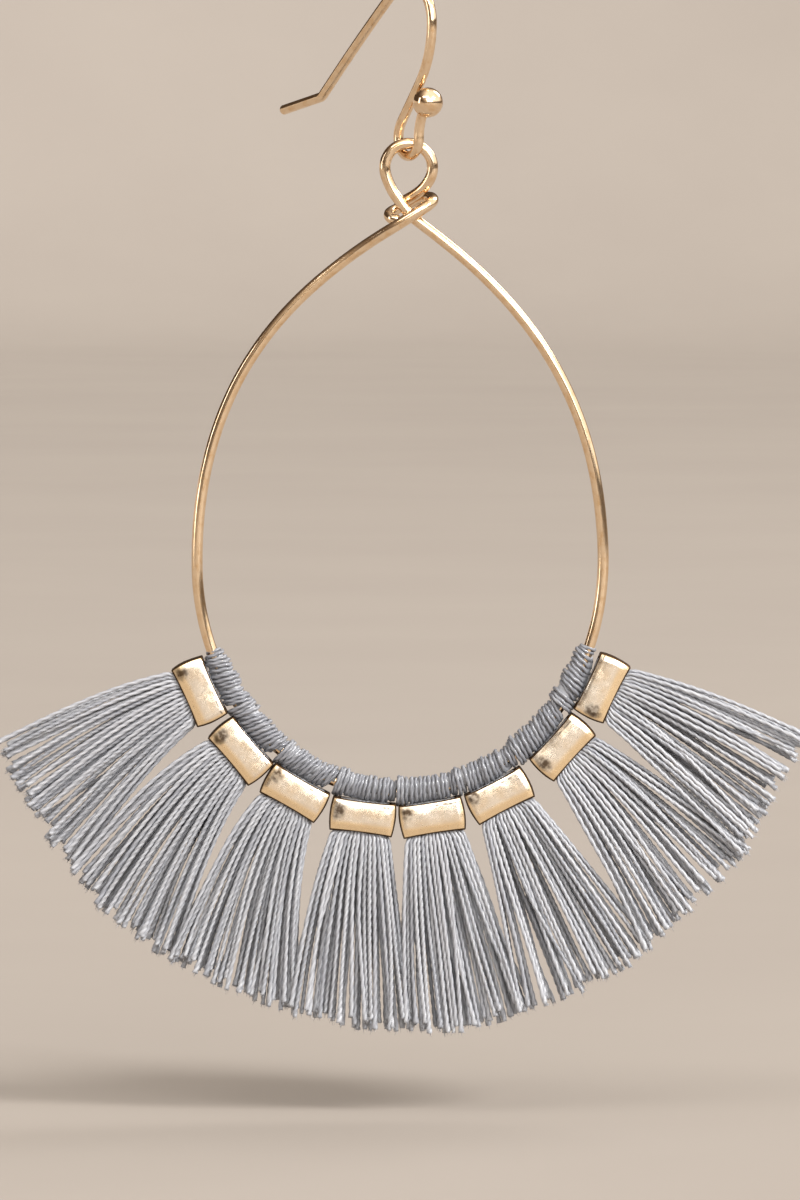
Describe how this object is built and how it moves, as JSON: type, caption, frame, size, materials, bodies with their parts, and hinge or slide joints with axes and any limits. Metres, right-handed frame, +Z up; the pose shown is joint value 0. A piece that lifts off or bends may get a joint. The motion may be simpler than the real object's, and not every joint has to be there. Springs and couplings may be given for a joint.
{
  "type": "tassel earring",
  "caption": "Drop earring: a ball-ended ear wire carries a teardrop wire hoop whose lower half holds a fan of thread tassels, each drawn through a flat gold bead.",
  "frame": {"origin": "underside of the top of the ear wire's arch, where it rests in the ear", "axes": "+Z up, +X to the right across the hoop seen from the front, +Y pointing behind the hoop"},
  "size_m": [0.0644, 0.0181, 0.0843],
  "materials": {
    "gold_wire": "polished pale gold plate on wire",
    "antique_gold": "brushed antique gold with dark worn edges",
    "grey_thread": "silky twisted two-ply thread"
  },
  "bodies": {
    "ear_hook": {"ear_hook": "gold_wire"},
    "drop": {"hoop_wire": "gold_wire", "bead_1": "antique_gold", "bead_2": "antique_gold", "bead_3": "antique_gold", "bead_4": "antique_gold", "bead_5": "antique_gold", "bead_6": "antique_gold", "bead_7": "antique_gold", "bead_8": "antique_gold", "tassel_1": "grey_thread", "tassel_2": "grey_thread", "tassel_3": "grey_thread", "tassel_4": "grey_thread", "tassel_5": "grey_thread", "tassel_6": "grey_thread", "tassel_7": "grey_thread", "tassel_8": "grey_thread"}
  },
  "joints": [
    {"name": "hoop_swing", "type": "hinge", "parent": "ear_hook", "child": "drop", "pos_m": [0, 0, -0.01243], "axis": [1, 0, 0], "range_deg": [-30, 30]}
  ]
}
